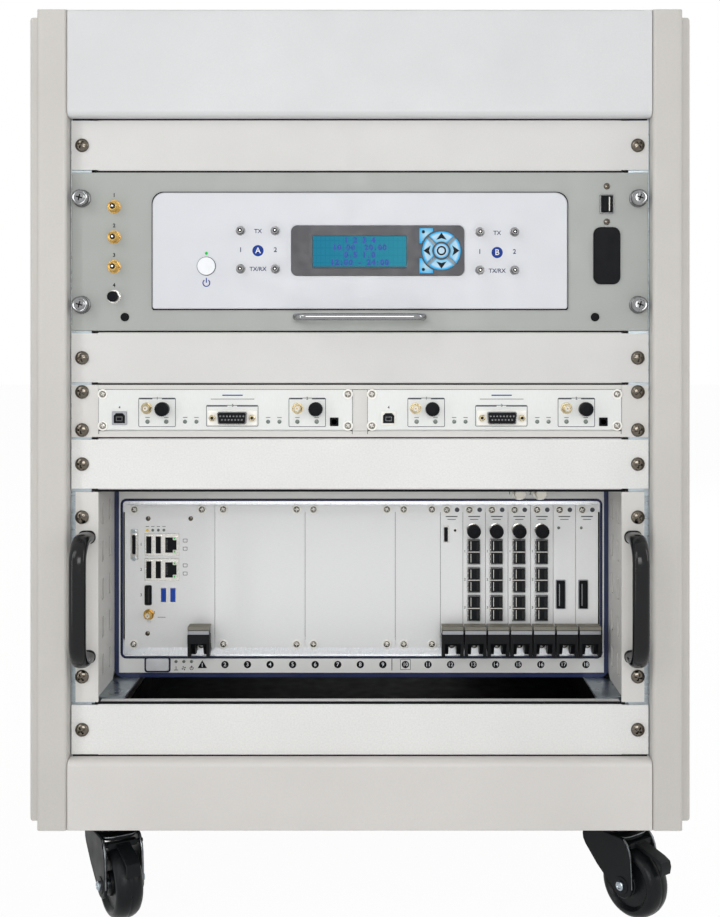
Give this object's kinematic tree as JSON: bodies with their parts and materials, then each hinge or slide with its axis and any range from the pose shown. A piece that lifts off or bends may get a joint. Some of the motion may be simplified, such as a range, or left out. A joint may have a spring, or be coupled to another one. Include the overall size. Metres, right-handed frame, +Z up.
{
  "type": "rack-mounted spectrum analyzer",
  "caption": "Wheeled instrument rack cabinet with a test station, radio units in a tray, a card chassis with pull handles, blank panels and a louvred rear door.",
  "frame": {"origin": "centre of the bounding box on the floor under the casters", "axes": "+X to the right seen from the front, the front faces -Y, +Z up"},
  "size_m": [0.553, 0.735, 0.765],
  "materials": {
    "cabinet_paint": "satin",
    "header_paint": "satin",
    "panel_paint": "satin",
    "station_paint": "satin",
    "fascia_paint": "satin",
    "zinc": "zinc plated",
    "aluminium": "brushed",
    "chassis_blue": "satin",
    "chassis_inside": "matte",
    "chrome": "polished",
    "connector_mix": "plated",
    "port_black": "matte",
    "bezel_grey": "matte",
    "lcd": "lit",
    "key_blue": "translucent",
    "button_grey": "satin",
    "handle_black": "gloss",
    "caster_steel": "satin",
    "wheel_rubber": "matte",
    "ejector_black": "matte",
    "angle_steel": "plated"
  },
  "bodies": {
    "cabinet": {"base_frame": "cabinet_paint", "blank_panels": "panel_paint", "card_cage_rails": "aluminium", "caster_plates": "caster_steel", "chassis_bezel": "chassis_blue", "chassis_brackets": "panel_paint", "chassis_case": "chassis_inside", "chassis_handles": "handle_black", "controller_module": "aluminium", "display_bezel": "bezel_grey", "display_screen": "lcd", "header_panel": "header_paint", "module_panels": "aluminium", "module_ports": "port_black", "plinth_panel": "cabinet_paint", "rack_rails": "zinc", "radio_connectors": "connector_mix", "radio_tray": "panel_paint", "radio_units": "aluminium", "side_frame_left": "cabinet_paint", "side_frame_right": "cabinet_paint", "side_panel_left": "cabinet_paint", "side_panel_right": "cabinet_paint", "station_case": "station_paint", "station_connectors": "connector_mix", "station_fascia": "fascia_paint", "station_front_panel": "station_paint", "station_handle": "chrome", "support_angles": "angle_steel", "top_cover": "cabinet_paint"},
    "fork_fl": {"caster_fork_fl": "caster_steel"},
    "wheel_fl": {"caster_wheel_fl": "wheel_rubber"},
    "brake_fl": {"brake_lever_fl": "caster_steel"},
    "fork_fr": {"caster_fork_fr": "caster_steel"},
    "wheel_fr": {"caster_wheel_fr": "wheel_rubber"},
    "brake_fr": {"brake_lever_fr": "caster_steel"},
    "fork_rl": {"caster_fork_rl": "caster_steel"},
    "wheel_rl": {"caster_wheel_rl": "wheel_rubber"},
    "fork_rr": {"caster_fork_rr": "caster_steel"},
    "wheel_rr": {"caster_wheel_rr": "wheel_rubber"},
    "key_right": {"key_right": "key_blue"},
    "key_up": {"key_up": "key_blue"},
    "key_left": {"key_left": "key_blue"},
    "key_down": {"key_down": "key_blue"},
    "key_select": {"key_select": "key_blue"},
    "key_menu": {"key_menu": "key_blue"},
    "key_back": {"key_back": "key_blue"},
    "station_power": {"station_power_button": "button_grey"},
    "chassis_power": {"chassis_power_button": "button_grey"},
    "reset": {"reset_button": "button_grey"},
    "ejector_1": {"ejector_1": "ejector_black"},
    "ejector_2": {"ejector_2": "ejector_black"},
    "ejector_3": {"ejector_3": "ejector_black"},
    "ejector_4": {"ejector_4": "ejector_black"},
    "ejector_5": {"ejector_5": "ejector_black"},
    "ejector_6": {"ejector_6": "ejector_black"},
    "ejector_7": {"ejector_7": "ejector_black"},
    "ejector_8": {"ejector_8": "ejector_black"},
    "door": {"rear_door": "cabinet_paint"},
    "latch": {"door_latch": "handle_black"}
  },
  "joints": [
    {"name": "swivel_fl", "type": "hinge", "parent": "cabinet", "child": "fork_fl", "pos_m": [-0.218, -0.2845, 0.08], "axis": [0, 0, 1], "continuous": true},
    {"name": "roll_fl", "type": "hinge", "parent": "fork_fl", "child": "wheel_fl", "pos_m": [-0.2045, -0.30788, 0.03], "axis": [0.866, 0.5, 0], "continuous": true},
    {"name": "brake_press_fl", "type": "hinge", "parent": "fork_fl", "child": "brake_fl", "pos_m": [-0.2025, -0.31135, 0.0634], "axis": [0.866, 0.5, 0], "range_deg": [0, 8]},
    {"name": "swivel_fr", "type": "hinge", "parent": "cabinet", "child": "fork_fr", "pos_m": [0.218, -0.2845, 0.08], "axis": [0, 0, 1], "continuous": true},
    {"name": "roll_fr", "type": "hinge", "parent": "fork_fr", "child": "wheel_fr", "pos_m": [0.23462, -0.30578, 0.03], "axis": [0.788, 0.6157, 0], "continuous": true},
    {"name": "brake_press_fr", "type": "hinge", "parent": "fork_fr", "child": "brake_fr", "pos_m": [0.23709, -0.30893, 0.0634], "axis": [0.788, 0.6157, 0], "range_deg": [0, 8]},
    {"name": "swivel_rl", "type": "hinge", "parent": "cabinet", "child": "fork_rl", "pos_m": [-0.218, 0.3035, 0.08], "axis": [0, 0, 1], "continuous": true},
    {"name": "roll_rl", "type": "hinge", "parent": "fork_rl", "child": "wheel_rl", "pos_m": [-0.20702, 0.27883, 0.03], "axis": [0.9135, 0.4067, 0], "continuous": true},
    {"name": "swivel_rr", "type": "hinge", "parent": "cabinet", "child": "fork_rr", "pos_m": [0.218, 0.3035, 0.08], "axis": [0, 0, 1], "continuous": true},
    {"name": "roll_rr", "type": "hinge", "parent": "fork_rr", "child": "wheel_rr", "pos_m": [0.22898, 0.27883, 0.03], "axis": [0.9135, 0.4067, 0], "continuous": true},
    {"name": "key_right_press", "type": "slide", "parent": "cabinet", "child": "key_right", "axis": [0, 1, 0], "range_m": [0, 0.001], "stiffness_N_per_m": 120, "springref_m": -0.001},
    {"name": "key_up_press", "type": "slide", "parent": "cabinet", "child": "key_up", "axis": [0, 1, 0], "range_m": [0, 0.001], "stiffness_N_per_m": 120, "springref_m": -0.001},
    {"name": "key_left_press", "type": "slide", "parent": "cabinet", "child": "key_left", "axis": [0, 1, 0], "range_m": [0, 0.001], "stiffness_N_per_m": 120, "springref_m": -0.001},
    {"name": "key_down_press", "type": "slide", "parent": "cabinet", "child": "key_down", "axis": [0, 1, 0], "range_m": [0, 0.001], "stiffness_N_per_m": 120, "springref_m": -0.001},
    {"name": "key_select_press", "type": "slide", "parent": "cabinet", "child": "key_select", "axis": [0, 1, 0], "range_m": [0, 0.001], "stiffness_N_per_m": 120, "springref_m": -0.001},
    {"name": "key_menu_press", "type": "slide", "parent": "cabinet", "child": "key_menu", "axis": [0, 1, 0], "range_m": [0, 0.001], "stiffness_N_per_m": 120, "springref_m": -0.001},
    {"name": "key_back_press", "type": "slide", "parent": "cabinet", "child": "key_back", "axis": [0, 1, 0], "range_m": [0, 0.001], "stiffness_N_per_m": 120, "springref_m": -0.001},
    {"name": "station_power_press", "type": "slide", "parent": "cabinet", "child": "station_power", "axis": [0, 1, 0], "range_m": [0, 0.001], "stiffness_N_per_m": 120, "springref_m": -0.001},
    {"name": "chassis_power_press", "type": "slide", "parent": "cabinet", "child": "chassis_power", "axis": [0, 1, 0], "range_m": [0, 0.001], "stiffness_N_per_m": 120, "springref_m": -0.001},
    {"name": "reset_press", "type": "slide", "parent": "cabinet", "child": "reset", "axis": [0, 1, 0], "range_m": [0, 0.0006], "stiffness_N_per_m": 120, "springref_m": -0.001},
    {"name": "ejector_turn_1", "type": "hinge", "parent": "cabinet", "child": "ejector_1", "pos_m": [-0.14415, -0.2494, 0.21345], "axis": [1, 0, 0], "range_deg": [0, 25]},
    {"name": "ejector_turn_2", "type": "hinge", "parent": "cabinet", "child": "ejector_2", "pos_m": [0.08124, -0.2494, 0.21345], "axis": [1, 0, 0], "range_deg": [0, 25]},
    {"name": "ejector_turn_3", "type": "hinge", "parent": "cabinet", "child": "ejector_3", "pos_m": [0.10156, -0.2494, 0.21345], "axis": [1, 0, 0], "range_deg": [0, 25]},
    {"name": "ejector_turn_4", "type": "hinge", "parent": "cabinet", "child": "ejector_4", "pos_m": [0.12188, -0.2494, 0.21345], "axis": [1, 0, 0], "range_deg": [0, 25]},
    {"name": "ejector_turn_5", "type": "hinge", "parent": "cabinet", "child": "ejector_5", "pos_m": [0.1422, -0.2494, 0.21345], "axis": [1, 0, 0], "range_deg": [0, 25]},
    {"name": "ejector_turn_6", "type": "hinge", "parent": "cabinet", "child": "ejector_6", "pos_m": [0.16252, -0.2494, 0.21345], "axis": [1, 0, 0], "range_deg": [0, 25]},
    {"name": "ejector_turn_7", "type": "hinge", "parent": "cabinet", "child": "ejector_7", "pos_m": [0.18284, -0.2494, 0.21345], "axis": [1, 0, 0], "range_deg": [0, 25]},
    {"name": "ejector_turn_8", "type": "hinge", "parent": "cabinet", "child": "ejector_8", "pos_m": [0.20316, -0.2494, 0.21345], "axis": [1, 0, 0], "range_deg": [0, 25]},
    {"name": "door_swing", "type": "hinge", "parent": "cabinet", "child": "door", "pos_m": [-0.2425, 0.3635, 0.4097], "axis": [0, 0, 1], "range_deg": [0, 110]},
    {"name": "latch_turn", "type": "hinge", "parent": "door", "child": "latch", "pos_m": [0.2185, 0.3595, 0.4097], "axis": [0, 1, 0], "range_deg": [0, 90]}
  ]
}
